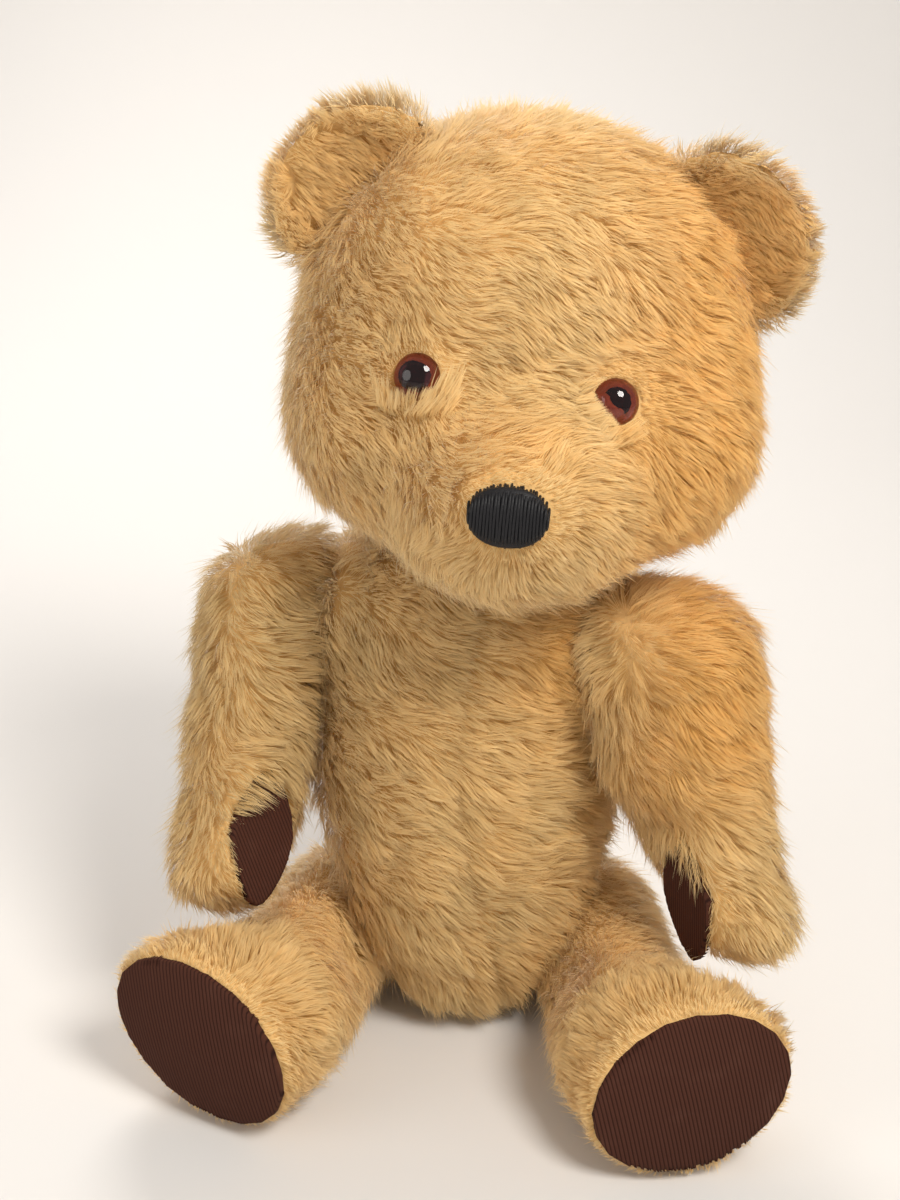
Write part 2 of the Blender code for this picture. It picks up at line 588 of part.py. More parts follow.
def build():
    for item in list(bpy.data.objects):
        bpy.data.objects.remove(item, do_unlink=True)
    pelt = add_material("mohair", (0.62, 0.40, 0.17), 0.90)
    cotton = add_material("brown_cotton", (0.070, 0.028, 0.022), 0.85)
    amber = add_material("amber_plastic", (0.22, 0.03, 0.015), 0.08)
    black = add_material("black_plastic", (0.008, 0.007, 0.007), 0.20)
    thread = add_material("black_thread", (0.010, 0.009, 0.009), 0.55)
    board = add_material("hardboard", (0.24, 0.13, 0.06), 0.70)
    steel = add_material("steel", (0.55, 0.55, 0.53), 0.30, 1.0)

    root = add_pivot("seat", (0, 0, 0))
    torso_piece = torso(pelt, root)

    neck = add_pivot("neck", NECK_PIVOT)
    head_piece = head("head", pelt, neck)
    head_cutter = head("head_swollen", None, neck, GAP, 0.0)
    for side, sign in (("right", -1), ("left", 1)):
        ear(side, sign, head_cutter, pelt, neck)
    for side, aim in zip(("right", "left"), EYE_AIM):
        eye(side, aim, amber, black, steel, head_piece, neck)
    nose(thread, neck)
    joint_stack("neck", NECK_PIVOT, (0, 0, 1), NECK_DISC_RADIUS, board, steel, head_piece, torso_piece,
                neck, root)

    for side, (place, axis) in SHOULDERS.items():
        pivot = add_pivot("shoulder_" + side, place)
        down = turned_about((0, 0, -1), (1, 0, 0), -ARM_FORWARD[side])
        place, axis, way = limb_frame(place, axis, down)
        front = unit(np.array([0, -1, 0]) - axis * -axis[1] - way * -way[1])
        piece, at, palm, long_way = arm(side, (place, axis, way, front), pelt, pivot)
        pad("paw_pad_" + side, piece, at, palm, long_way, PALM_HALF_LENGTH, PALM_HALF_WIDTH, 0.35,
            0.0, cotton, pivot)
        joint_stack("shoulder_" + side, place, axis, SHOULDER_DISC_RADIUS, board, steel, piece, torso_piece,
                    pivot, root)

    for side, (place, axis) in HIPS.items():
        pivot = add_pivot("hip_" + side, place)
        sign = 1 if side == "left" else -1
        splay = math.radians(LEG_SPLAY[side])
        forward = (sign * math.sin(splay), -math.cos(splay), math.tan(math.radians(LEG_RISE)))
        place, axis, way = limb_frame(place, axis, forward)
        toe = np.cross(way, axis)
        toe = toe * np.sign(toe[2])
        piece, sole, normal, long_way = leg(side, (place, axis, way, toe), pelt, pivot)
        pad("foot_pad_" + side, piece, sole, normal, long_way, SOLE_HALF_LENGTH, SOLE_HALF_WIDTH, 0.06,
            SOLE_DOME, cotton, pivot)
        joint_stack("hip_" + side, place, axis, HIP_DISC_RADIUS, board, steel, piece, torso_piece,
                    pivot, root)


build()
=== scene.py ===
"""A sitting, jointed mohair bear: combed pelts, plastic eyes, a stitched nose and ribbed cotton pads."""

import json
import math

import bmesh
import bpy
import numpy as np
from mathutils import Matrix, Vector, kdtree, noise
from mathutils.bvhtree import BVHTree


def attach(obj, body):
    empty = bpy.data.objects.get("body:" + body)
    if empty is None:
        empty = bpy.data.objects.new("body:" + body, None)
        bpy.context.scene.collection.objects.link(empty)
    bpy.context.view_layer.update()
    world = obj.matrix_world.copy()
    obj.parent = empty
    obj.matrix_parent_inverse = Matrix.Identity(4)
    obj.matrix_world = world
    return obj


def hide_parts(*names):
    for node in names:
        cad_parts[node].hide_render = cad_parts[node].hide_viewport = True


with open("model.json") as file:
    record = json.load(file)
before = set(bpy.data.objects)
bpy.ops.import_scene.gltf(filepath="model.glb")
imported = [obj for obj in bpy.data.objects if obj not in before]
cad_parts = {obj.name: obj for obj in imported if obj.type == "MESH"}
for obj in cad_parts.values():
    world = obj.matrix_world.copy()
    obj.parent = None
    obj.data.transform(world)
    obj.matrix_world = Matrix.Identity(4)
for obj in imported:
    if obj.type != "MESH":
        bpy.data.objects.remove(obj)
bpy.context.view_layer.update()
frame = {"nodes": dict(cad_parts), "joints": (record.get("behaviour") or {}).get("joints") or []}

# Camera
# The photograph was taken from just above the bear's head height, a little to its left and tilted.
CAMERA_DISTANCE = 0.581
CAMERA_TARGET = Vector((-0.0156, 0.0, 0.1379))
CAMERA_AZIMUTH = math.radians(1.2)
CAMERA_PITCH = math.radians(22.5)
CAMERA_ROLL = math.radians(4.1)
SENSOR_HEIGHT = 36.0
LENS = SENSOR_HEIGHT * 1805 / 1200

back = Vector((math.sin(CAMERA_AZIMUTH) * math.cos(CAMERA_PITCH),
               -math.cos(CAMERA_AZIMUTH) * math.cos(CAMERA_PITCH), math.sin(CAMERA_PITCH)))
across = Vector((math.cos(CAMERA_AZIMUTH), math.sin(CAMERA_AZIMUTH), 0.0))
upward = back.cross(across)
right = across * math.cos(CAMERA_ROLL) + upward * math.sin(CAMERA_ROLL)
top = upward * math.cos(CAMERA_ROLL) - across * math.sin(CAMERA_ROLL)
camera_data = bpy.data.cameras.new("camera")
camera_data.sensor_fit = "VERTICAL"
camera_data.sensor_height = SENSOR_HEIGHT
camera_data.lens = LENS
camera_data.clip_start = 0.01
camera = bpy.data.objects.new("camera", camera_data)
bpy.context.collection.objects.link(camera)
camera.matrix_world = Matrix((right, top, back)).transposed().to_4x4()
camera.location = CAMERA_TARGET + back * CAMERA_DISTANCE
bpy.context.scene.camera = camera

# Lights
# A broad soft key from above the bear's left front, a fill from its right, and a low world glow.
bpy.context.scene.view_settings.view_transform = "Standard"


def soft_lamp(name, place, aim, size, watts, colour):
    data = bpy.data.lights.new(name, "AREA")
    data.shape = "DISK"
    data.size = size
    data.energy = watts
    data.color = colour
    lamp = bpy.data.objects.new(name, data)
    bpy.context.collection.objects.link(lamp)
    lamp.location = place
    lamp.rotation_euler = (Vector(place) - Vector(aim)).to_track_quat("Z", "Y").to_euler()


soft_lamp("key", (0.50, -0.62, 1.08), (0.0, 0.0, 0.14), 0.50, 13.0, (1.0, 0.96, 0.90))
soft_lamp("fill", (-0.95, -0.70, 0.45), (0.0, 0.0, 0.14), 0.80, 3.8, (1.0, 0.97, 0.93))
soft_lamp("rim", (-0.25, 0.90, 0.80), (0.0, 0.0, 0.16), 0.60, 8.5, (1.0, 0.97, 0.93))

world = bpy.data.worlds.new("room")
bpy.context.scene.world = world
world.use_nodes = True
world_shader = world.node_tree.nodes["Background"]
world_shader.inputs["Color"].default_value = (1.0, 0.97, 0.94, 1.0)
world_shader.inputs["Strength"].default_value = 0.37


# Floor
# A plain pale table top that runs up into the backdrop.
class Wire:
    """A shader socket that takes part in sums, each of which adds its Math node."""

    def __init__(self, paint, socket):
        self.paint = paint
        self.socket = socket

    def sum(self, operation, *others):
        return self.paint.node("ShaderNodeMath", {"operation": operation},
                               {i: v for i, v in enumerate((self, *others))})

    def __add__(self, other):
        return self.sum("ADD", other)

    def __sub__(self, other):
        return self.sum("SUBTRACT", other)

    def __mul__(self, other):
        return self.sum("MULTIPLY", other)

    def __rsub__(self, other):
        return (self * -1.0) + other

    __radd__ = __add__
    __rmul__ = __mul__

    def part(self):
        return self.sum("FRACT")

    def smooth(self, low, high):
        """0 below low, 1 above high, and a soft step between them."""
        return self.paint.node("ShaderNodeMapRange", {"interpolation_type": "SMOOTHSTEP"},
                               {"Value": self, "From Min": low, "From Max": high})


class Paint:
    """A material under its own name, made node by node."""

    def __init__(self, name, roughness, **fixed):
        self.material = bpy.data.materials.new(name)
        self.material.use_nodes = True
        self.tree = self.material.node_tree
        self.shader = self.tree.nodes["Principled BSDF"]
        self.set("Roughness", roughness)
        for socket, value in fixed.items():
            self.set(socket.replace("_", " ").title().replace("Ior", "IOR"), value)

    def set(self, socket, value):
        self.feed(self.shader.inputs[socket], value)

    def feed(self, socket, value):
        if isinstance(value, Wire):
            self.tree.links.new(value.socket, socket)
        elif isinstance(value, tuple) and socket.type == "RGBA":
            socket.default_value = (*value, 1.0)
        else:
            socket.default_value = value

    def node(self, kind, settings=None, inputs=None, output=0):
        made = self.tree.nodes.new(kind)
        for name, value in (settings or {}).items():
            setattr(made, name, value)
        for name, value in (inputs or {}).items():
            self.feed(made.inputs[name], value)
        return Wire(self, made.outputs[output])

    def coordinates(self, scale=(1, 1, 1), turn=(0, 0, 0)):
        place = self.node("ShaderNodeTexCoord", output=3)
        return self.node("ShaderNodeMapping", {}, {"Vector": place, "Scale": scale, "Rotation": turn})

    def noise(self, scale, detail=3.0, where=None, roughness=0.55):
        return self.node("ShaderNodeTexNoise", {}, {"Vector": where or self.coordinates(), "Scale": scale,
                                                    "Detail": detail, "Roughness": roughness})

    def mix(self, share, first, second, blend="MIX"):
        made = self.tree.nodes.new("ShaderNodeMix")
        made.data_type = "RGBA"
        made.blend_type = blend
        self.feed(made.inputs[0], share)
        self.feed(made.inputs[6], first)
        self.feed(made.inputs[7], second)
        return Wire(self, made.outputs[2])

    def ramp(self, share, stops):
        made = self.tree.nodes.new("ShaderNodeValToRGB")
        ramp = made.color_ramp
        ramp.interpolation = "EASE"
        while len(ramp.elements) < len(stops):
            ramp.elements.new(0.5)
        for element, (place, colour) in zip(ramp.elements, stops):
            element.position = place
            element.color = (*colour, 1.0)
        self.feed(made.inputs[0], share)
        return Wire(self, made.outputs[0])

    def let_through(self, share, colour):
        """Thin hair passes this share of the light on to its far side."""
        through = self.node("ShaderNodeBsdfTranslucent", {}, {"Color": colour})
        solid = Wire(self, self.shader.outputs[0])
        both = self.node("ShaderNodeMixShader", {}, {0: share, 1: solid, 2: through})
        self.feed(self.tree.nodes["Material Output"].inputs["Surface"], both)

    def bump(self, height, strength, distance):
        self.set("Normal", self.node("ShaderNodeBump", {}, {"Strength": strength, "Distance": distance,
                                                            "Height": height}))


table_paint = Paint("pale_table", 0.7)
table_paint.set("Base Color", (0.74, 0.72, 0.70))
work = bmesh.new()
bmesh.ops.create_grid(work, x_segments=1, y_segments=1, size=1.6)
far = [e for e in work.edges if all(v.co.y > 1 for v in e.verts)]
bmesh.ops.translate(work, verts=far[0].verts, vec=(0, -0.6, 0))
raised = bmesh.ops.extrude_edge_only(work, edges=far)["geom"]
wall = [v for v in raised if isinstance(v, bmesh.types.BMVert)]
bmesh.ops.translate(work, verts=wall, vec=(0, 0, 2.0))
bend = [e for e in work.edges if all(abs(v.co.y - 1.0) < 0.01 and v.co.z < 0.01 for v in e.verts)]
bmesh.ops.bevel(work, geom=bend, offset=0.35, segments=12, profile=0.5, affect="EDGES", material=-1)
bmesh.ops.recalc_face_normals(work, faces=work.faces)
table_mesh = bpy.data.meshes.new("table")
work.to_mesh(table_mesh)
work.free()
table_mesh.shade_smooth()
table_mesh.materials.append(table_paint.material)
table = bpy.data.objects.new("table", table_mesh)
bpy.context.collection.objects.link(table)

# Pelts
# Each part of the bear is a bag of mohair plush, stuffed hard and closed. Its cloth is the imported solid,
# drawn in by the height of the pile, and the pile stands on it in locks that are combed one way.
PILE_HEIGHT = 0.0034
BARE_HEIGHT = 0.0007
VOXEL = 0.0029
DETAIL_REACH = 0.011
SEWN_DEPTH = PILE_HEIGHT * 2.2
SEWN_REACH = (0.0045, 0.0015)
CLOTH_FLOOR = 0.0004
BLADE_FLOOR = 0.0003
SHADES = 12
BLADE_HALF_WIDTH = 0.00016
rng = np.random.default_rng(1905)


def unit(v):
    v = np.asarray(v, float)
    return v / np.maximum(np.linalg.norm(v, axis=-1, keepdims=True), 1e-12)


def soft(value, low, high):
    t = np.clip((value - low) / (high - low), 0, 1)
    return t * t * (3 - 2 * t)


def drift(points, size, seed):
    """Smooth noise of about -1 to 1, whose patches are size across."""
    shift = Vector((seed * 7.3, seed * 3.1, seed * 5.7))
    return np.array([noise.noise(Vector(p) / size + shift) for p in points]) * 1.6


def corners_of(mesh):
    places = np.zeros(len(mesh.vertices) * 3, np.float32)
    mesh.vertices.foreach_get("co", places)
    return places.reshape(-1, 3).astype(float)


def normals_of(mesh):
    facing = np.zeros(len(mesh.vertices) * 3, np.float32)
    mesh.vertex_normals.foreach_get("vector", facing)
    return facing.reshape(-1, 3).astype(float)


def node_corners(name):
    return corners_of(frame["nodes"][name].data)


def tree_of(names):
    """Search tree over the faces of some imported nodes."""
    places, faces = [], []
    for name in names:
        mesh = frame["nodes"][name].data
        start = len(places)
        places += [v.co.copy() for v in mesh.vertices]
        faces += [[start + i for i in p.vertices] for p in mesh.polygons]
    return BVHTree.FromPolygons(places, faces)


joint_rooms = []
for joint in frame["joints"]:
    pivot, axis = np.array(joint["pos_m"]), unit(joint["axis"])
    board = node_corners(joint["name"] + "_limb_disc") - pivot
    reach = np.linalg.norm(board - np.outer(board @ axis, axis), axis=1).max()
    joint_rooms.append((pivot, axis, reach))

eye_rooms = []
for side in ("right", "left"):
    dome, lock = node_corners("eye_dome_" + side), node_corners("eye_lock_washer_" + side)
    centre = dome.mean(0)
    axis = unit(centre - lock.mean(0))
    radius = np.linalg.norm((dome - centre) - np.outer((dome - centre) @ axis, axis), axis=1).max()
    eye_rooms.append((centre, axis, radius))


JOINT_FACE, JOINT_DEPTH = 0.0006, 0.012
EYE_DEPTH, EYE_RISE = 0.016, 0.006
POCKET_PLAY = 0.0005


def in_a_room(p):
    """Whether a point is on the wall of a pocket inside the part, where a disc, pin or eye sits."""
    for pivot, axis, reach in joint_rooms:
        along = abs((p - pivot) @ axis)
        out = np.linalg.norm(p - pivot - axis * ((p - pivot) @ axis))
        if JOINT_FACE < along < JOINT_DEPTH and out < reach + POCKET_PLAY:
            return True
    for centre, axis, radius in eye_rooms:
        along = (p - centre) @ axis
        if -EYE_DEPTH < along < EYE_RISE and np.linalg.norm(p - centre - axis * along) < radius + POCKET_PLAY:
            return True
    return False


def pelt(name, node, body, details, height, sewn_to=None):
    """The cloth of one stuffed part, and how far it lies under the tips of its pile."""
    work = bmesh.new()
    work.from_mesh(frame["nodes"][node].data)
    bmesh.ops.remove_doubles(work, verts=work.verts, dist=2e-6)
    inside = [f for f in work.faces if in_a_room(np.array(f.calc_center_median()))]
    bmesh.ops.delete(work, geom=inside, context="FACES")
    bmesh.ops.holes_fill(work, edges=work.edges)
    mesh = bpy.data.meshes.new(name)
    work.to_mesh(mesh)
    work.free()
    piece = bpy.data.objects.new(name, mesh)
    bpy.context.collection.objects.link(piece)
    even = piece.modifiers.new("even faces", "REMESH")
    even.mode = "VOXEL"
    even.voxel_size = VOXEL
    shaped = bpy.data.meshes.new_from_object(piece.evaluated_get(bpy.context.evaluated_depsgraph_get()))
    piece.modifiers.clear()
    shaped.name = name
    piece.data = shaped
    work = bmesh.new()
    work.from_mesh(shaped)
    for _ in range(3):
        bmesh.ops.smooth_vert(work, verts=work.verts, factor=0.5,
                              use_axis_x=True, use_axis_y=True, use_axis_z=True)
    work.to_mesh(shaped)
    work.free()
    places, facing = corners_of(shaped), normals_of(shaped)
    room = soft(nearness(places, details), 0.0, DETAIL_REACH) * pressed(places, 1.5, 2.2)
    depth = BARE_HEIGHT + (height - BARE_HEIGHT) * room
    places = places - facing * depth[:, None]
    if sewn_to:
        host = tree_of([sewn_to])
        for i, p in enumerate(places):
            _, outward, _, gap = host.find_nearest(Vector(p))
            places[i] -= np.array(outward) * SEWN_DEPTH * float(soft(gap, *SEWN_REACH))
    places[:, 2] = np.maximum(places[:, 2], CLOTH_FLOOR)
    shaped.vertices.foreach_set("co", places.astype(np.float32).ravel())
    shaped.update()
    shaped.shade_smooth()
    shaped.materials.append(cloth_paint.material)
    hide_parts(node)
    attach(piece, body)
    return piece


def nearness(points, details):
    """Distance from each point to the nearest eye, nose or pad of its part, or far where it has none."""
    if not details:
        return np.full(len(points), 1.0)
    search = tree_of(details)
    return np.array([search.find_nearest(Vector(p))[3] for p in points])


def rooted(mesh, count):
    """Even random points on the cloth, with the direction that it faces there."""
    mesh.calc_loop_triangles()
    total = len(mesh.loop_triangles)
    corner = np.zeros(total * 3, np.int32)
    mesh.loop_triangles.foreach_get("vertices", corner)
    area = np.zeros(total, np.float32)
    mesh.loop_triangles.foreach_get("area", area)
    corner = corner.reshape(total, 3)[rng.choice(total, count, p=area / area.sum())]
    share = rng.dirichlet((1, 1, 1), count)[..., None]
    return ((corners_of(mesh)[corner] * share).sum(1), unit((normals_of(mesh)[corner] * share).sum(1)))


def cloth_area(mesh):
    return sum(p.area for p in mesh.polygons) * 1e6


def pressed(points, inner=1.05, outer=1.40):
    """How free the pile is from a joint's faces: 0 pressed flat between them, 1 free."""
    free = np.ones(len(points))
    for pivot, axis, reach in joint_rooms:
        off = points - pivot
        along = off @ axis
        out = np.linalg.norm(off - np.outer(along, axis), axis=1)
        clear = np.maximum(soft(np.abs(along), 0.004, 0.009), soft(out, reach * inner, reach * outer))
        free = np.minimum(free, clear)
    return free


def pile(name, body, cloth, comb, length, lean, details=(), per_mm2=2.4, lock_mm2=4.8, keep=None, fade=None,
         thin=None, stand=None, over=None, painted_shade=0.0, tight=0.42, stray=0.14):
    """Mohair on a cloth: thin bent blades, drawn together into pointed locks along the combed way."""
    area = cloth_area(cloth.data)
    root, facing = rooted(cloth.data, int(area * per_mm2))
    chosen = np.ones(len(root), bool) if keep is None else keep(root)
    if details:
        cover = tree_of(details)
        chosen &= np.array([cover.ray_cast(Vector(p - n * 0.001), Vector(n), 0.009)[0] is None
                            for p, n in zip(root, facing)])
    chosen &= (root[:, 2] > 0.004) | (rng.random(len(root)) < 0.4)
    chosen &= rng.random(len(root)) < 0.35 + 0.65 * pressed(root)
    root, facing = root[chosen], facing[chosen]
    lock_root, lock_facing = rooted(cloth.data, int(area / lock_mm2))

    # Each lock's own way, lean, length and shade
    way = comb(lock_root, lock_facing)
    way = unit(way - lock_facing * (way * lock_facing).sum(1, keepdims=True))
    turn = np.radians(26 * drift(lock_root, 0.017, 1) + 20 * drift(lock_root, 0.006, 5))[:, None]
    way = way * np.cos(turn) + np.cross(lock_facing, way) * np.sin(turn)
    free = pressed(lock_root)
    near = nearness(lock_root, list(details)) + (over(lock_root) if over else 0.0)
    lock_length = length * (1 + 0.08 * rng.normal(size=len(way)) + 0.14 * drift(lock_root, 0.009, 2))
    lock_length = lock_length * (0.50 + 0.50 * free) * (0.34 + 0.66 * soft(near, 0.001, 0.012))
    bare = thin(lock_root) if thin else np.ones(len(way))
    lock_length = np.maximum(lock_length * bare, length * 0.2)
    upright = stand(lock_root) if stand else np.zeros(len(way))
    lock_lean = np.radians(lean - upright + 10 * drift(lock_root, 0.007, 3) + 3 * rng.normal(size=len(way)))
    lock_lean = lock_lean * free + math.radians(77) * (1 - free)
    lock_shade = 0.60 + 0.06 * rng.normal(size=len(way)) + 0.16 * drift(lock_root, 0.009, 4)
    # Thin places are painted darker, as painted shade over their exposed roots, and a fixed amount of painted
    # shade darkens whole parts that lie in shade
    lock_shade = lock_shade - 0.4 * (1 - bare) - painted_shade
    hug = rng.uniform(0.05, tight, len(way))

    search = kdtree.KDTree(len(lock_root))
    for i, p in enumerate(lock_root):
        search.insert(p, i)
    search.balance()
    owner = np.array([search.find(p)[1] for p in root])

    def bent(start, normal, forward, size, tilt):
        low, high = tilt - 0.30, np.minimum(tilt + 0.26, math.pi * 0.53)
        half = (size * 0.5)[:, None]
        middle = start + half * (normal * np.cos(low)[:, None] + forward * np.sin(low)[:, None])
        return middle, middle + half * (normal * np.cos(high)[:, None] + forward * np.sin(high)[:, None])

    lock_middle, lock_tip = bent(lock_root, lock_facing, way, lock_length, lock_lean)
    forward = way[owner]
    forward = unit(forward - facing * (forward * facing).sum(1, keepdims=True))
    loose = rng.random(len(root)) < stray
    size = lock_length[owner] * (1 + 0.12 * rng.normal(size=len(root))) * np.where(loose, 1.12, 1.0)
    tilt = lock_lean[owner] - np.where(loose, rng.uniform(0.1, 0.5, len(root)), 0.0)
    middle, tip = bent(root, facing, forward, size, tilt)
    offset = root - lock_root[owner]
    offset = offset - facing * (offset * facing).sum(1, keepdims=True)
    hold = np.where(loose, 0.05, hug[owner])[:, None]
    middle = middle + (lock_middle[owner] + offset * 0.60 - middle) * hold * 0.8
    tip = tip + (lock_tip[owner] + offset * 0.20 - tip) * hold
    tip = tip + rng.normal(size=tip.shape) * 0.00030
    if "nose" in details:
        middle, tip = clear_of_eyes(root, middle, tip)

    along = unit(tip - root)
    side = unit(np.cross(along, facing))
    roll = np.radians(rng.normal(size=len(root)) * 22)[:, None]
    front = np.cross(side, along)
    side, front = side * np.cos(roll) + front * np.sin(roll), front * np.cos(roll) - side * np.sin(roll)
    half = (BLADE_HALF_WIDTH * rng.uniform(0.65, 1.35, len(root)) * np.where(loose, 0.6, 1.0))[:, None]
    blade = np.stack([root, middle + side * half, middle - side * half, tip], 1)
    blade[..., 2] = np.maximum(blade[..., 2], BLADE_FLOOR)
    round_off = np.clip((offset * side).sum(1) / 0.0012, -1, 1)[:, None]
    front = front * np.sign((front * facing).sum(1, keepdims=True))
    shading = unit(front * 0.36 + facing * 0.80 + side * round_off * 0.20)
    shade = np.clip(lock_shade[owner] + 0.10 * rng.normal(size=len(root)), 0, 0.999)
    tint = np.clip(fade(root) + 0.06 * rng.normal(size=len(root)), 0.02, 0.98)
    return add_blades(name, body, blade, shading, shade, tint)


# For the right and the left eye: from which side the pile covers it, and how far from its middle that starts
EYE_COVER = unit(((0.15, 0.0, -1.0), (-0.75, 0.0, -0.70)))
COVER_FROM = (0.30, 0.45)


def clear_of_eyes(root, middle, tip):
    """Blades that would cross an eye end at its rim, except over the part that the pile covers."""
    for (centre, axis, radius), cover, begin in zip(eye_rooms, EYE_COVER, COVER_FROM):
        share = np.ones(len(root))
        for _ in range(12):
            off = root + (tip - root) * share[:, None] - centre
            along = off @ axis
            flat = off - np.outer(along, axis)
            over = (np.linalg.norm(flat, axis=1) < radius * 1.03) & (np.abs(along) < 0.014)
            share[over & (flat @ cover < begin * radius)] *= 0.88
        middle, tip = (root + (end - root) * share[:, None] for end in (middle, tip))
    return middle, tip


def add_blades(name, body, blade, shading, shade, tint):
    """One mesh of blades, of two faces each. Its map is a swatch card: tint across, shades and height up."""
    count = len(blade)
    first = np.arange(count)[:, None, None] * 4
    faces = (first + np.array([[0, 1, 2], [2, 1, 3]])).reshape(-1, 3)
    mesh = bpy.data.meshes.new(name)
    mesh.vertices.add(count * 4)
    mesh.vertices.foreach_set("co", blade.astype(np.float32).ravel())
    mesh.loops.add(faces.size)
    mesh.loops.foreach_set("vertex_index", faces.astype(np.int32).ravel())
    mesh.polygons.add(len(faces))
    mesh.polygons.foreach_set("loop_start", (np.arange(len(faces)) * 3).astype(np.int32))
    mesh.update(calc_edges=True)
    level = np.floor(shade * SHADES)[:, None]
    up = (level + 0.06 + 0.88 * np.array([[0.0, 0.52, 0.52, 1.0]])) / SHADES
    over = tint[:, None] + np.array([[0.0, 0.004, -0.004, 0.0]])
    card = np.stack([over, up], 2).reshape(-1, 2)[faces.ravel()]
    mesh.uv_layers.new(name="OFBake").data.foreach_set("uv", card.astype(np.float32).ravel())
    mesh.shade_smooth()
    mesh.normals_split_custom_set_from_vertices(np.repeat(shading, 4, axis=0).astype(np.float32))
    mesh.materials.append(pile_paint.material)
    piece = bpy.data.objects.new(name, mesh)
    bpy.context.collection.objects.link(piece)
    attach(piece, body)
    return piece


# Pile colours: root, middle and tip of faded tan mohair, and of the orange gold that light hasn't reached.
# Their darker roots are painted shade, standing for the shade down in the pile.
TAN = ((0.0, (0.630, 0.415, 0.165)), (0.34, (0.800, 0.560, 0.250)), (1.0, (0.990, 0.785, 0.440)))
GOLD = ((0.0, (0.640, 0.310, 0.060)), (0.34, (0.850, 0.450, 0.110)), (1.0, (1.000, 0.640, 0.245)))

pile_paint = Paint("mohair_pile", 0.55, specular_ior_level=0.22, sheen_weight=0.25, sheen_roughness=0.5)
card = pile_paint.node("ShaderNodeUVMap", {"uv_map": "OFBake"})
tint = pile_paint.node("ShaderNodeSeparateXYZ", {}, {"Vector": card})
rise = Wire(pile_paint, tint.socket.node.outputs[1]) * SHADES
height = rise.part()
level = (rise - height) * (1 / SHADES)
colour = pile_paint.mix(tint, pile_paint.ramp(height, TAN), pile_paint.ramp(height, GOLD))
# Each blade's shade level scales its colour: random tone between locks, with the painted shade of thin places
# and shaded parts
light = pile_paint.node("ShaderNodeCombineColor", {}, {i: level * 0.55 + 0.72 for i in range(3)})
pile_paint.set("Base Color", pile_paint.mix(1.0, colour, light, "MULTIPLY"))
pile_paint.let_through(0.46, (1.0, 0.91, 0.68))

cloth_paint = Paint("plush_backing", 0.9)
patches = cloth_paint.noise(140.0)
cloth_paint.set("Base Color", cloth_paint.mix(patches, (0.660, 0.400, 0.150), (0.760, 0.490, 0.200)))
cloth_paint.bump(cloth_paint.noise(1600.0), 0.5, 0.0004)

# Torso
# Two side panels joined by a seam down the front and back, with the pile combed to the bear's left.
def seam_line(p):
    """Where the front seam runs, across, at each height."""
    return np.interp(p[:, 2], (0.012, 0.063, 0.103, 0.150), (0.008, -0.007, -0.016, -0.010))


def on_chest(p):
    return np.exp(-(((p - np.array((0.024, -0.036, 0.136))) / np.array((0.030, 0.040, 0.028)))**2).sum(1))


def torso_comb(p, n):
    over = soft(p[:, 0] - seam_line(p), -0.003, 0.006)
    low = soft(p[:, 2], 0.070, 0.015)
    front = soft(p[:, 1], 0.020, -0.010)
    x = 0.90 * front + 0.15 - 0.35 * low
    z = -0.26 + 0.10 * over - 0.55 * low - 0.8 * (1 - front)
    return np.stack([x, np.full(len(x), -0.12), z], 1)


def torso_thin(p):
    """The pile is shorter beside the seam, and worn down over the chest; pile() paints these shorter places
    darker, as painted shade.
    """
    beside = p[:, 0] - seam_line(p)
    parted = 0.35 * np.exp(-((beside - 0.002) / 0.0022)**2) * soft(p[:, 1], 0.0, -0.02)
    return 1.0 - parted - 0.30 * on_chest(p)


def torso_fade(p):
    side = 0.30 * soft(p[:, 0], 0.00, 0.05)
    return 0.08 + 0.72 * on_chest(p) + side + 0.16 * drift(p, 0.022, 6)


torso = pelt("torso_pelt", "torso", "torso", [], PILE_HEIGHT)
# The torso's pile is painted darker, as painted shade on the body under the head
pile("torso_pile_front", "torso", torso, torso_comb, 0.0100, 61, keep=lambda p: p[:, 1] < 0.0,
     fade=torso_fade, thin=torso_thin, painted_shade=0.18)
pile("torso_pile_back", "torso", torso, torso_comb, 0.0100, 61, keep=lambda p: p[:, 1] >= 0.0,
     fade=torso_fade, per_mm2=1.9, painted_shade=0.18)

# Head
# Two side panels and a gusset from the nose over the crown, drawn in at the neck. The pile is combed over
# the brow to the bear's left, and spreads away from the nose on its left and below.
NOSE = node_corners("nose").mean(0)
HEAD_MIDDLE = 0.002
BETWEEN_EYES = np.array((-0.0054, -0.0534, 0.2309))
BRIDGE = np.array((0.0070, -0.0708, 0.2157))
FACE_DETAILS = ["nose", "eye_dome_right", "eye_dome_left"]


def head_comb(p, n):
    front = soft(p[:, 1], 0.010, -0.025)
    x = 0.92 * front + 0.10
    z = -0.48 * front - 0.85 * (1 - front)
    sweep = np.stack([x, 0.6 - 0.7 * front, z], 1)
    away = p - NOSE
    spread = unit(away * np.array((1.0, 0.3, 1.0)))
    right_half = soft(away[:, 0], -0.006, 0.012)
    below = soft(away[:, 2], 0.004, -0.012)
    close = soft(np.linalg.norm(away, axis=1), 0.045, 0.016)
    close = close * np.maximum(right_half, below)
    down = soft(p[:, 0], 0.040, 0.060)[:, None] * np.array((-0.35, 0.0, -0.55))
    return sweep * (1 - close)[:, None] + spread * close[:, None] + down


def head_stand(p):
    """The pile stands up more on the left cheek."""
    return 16 * soft(p[:, 0], 0.030, 0.055) * soft(p[:, 1], 0.0, -0.03)


def head_thin(p):
    """A small parting between the eyes, and a thin place above the nose, which pile() also paints darker as
    painted shade.
    """
    parting = np.exp(-(((p - BETWEEN_EYES) / np.array((0.0075, 0.006, 0.0024)))**2).sum(1))
    bridge = np.exp(-(((p - BRIDGE) / 0.010)**2).sum(1))
    return 1.0 - 0.60 * parting - 0.10 * bridge


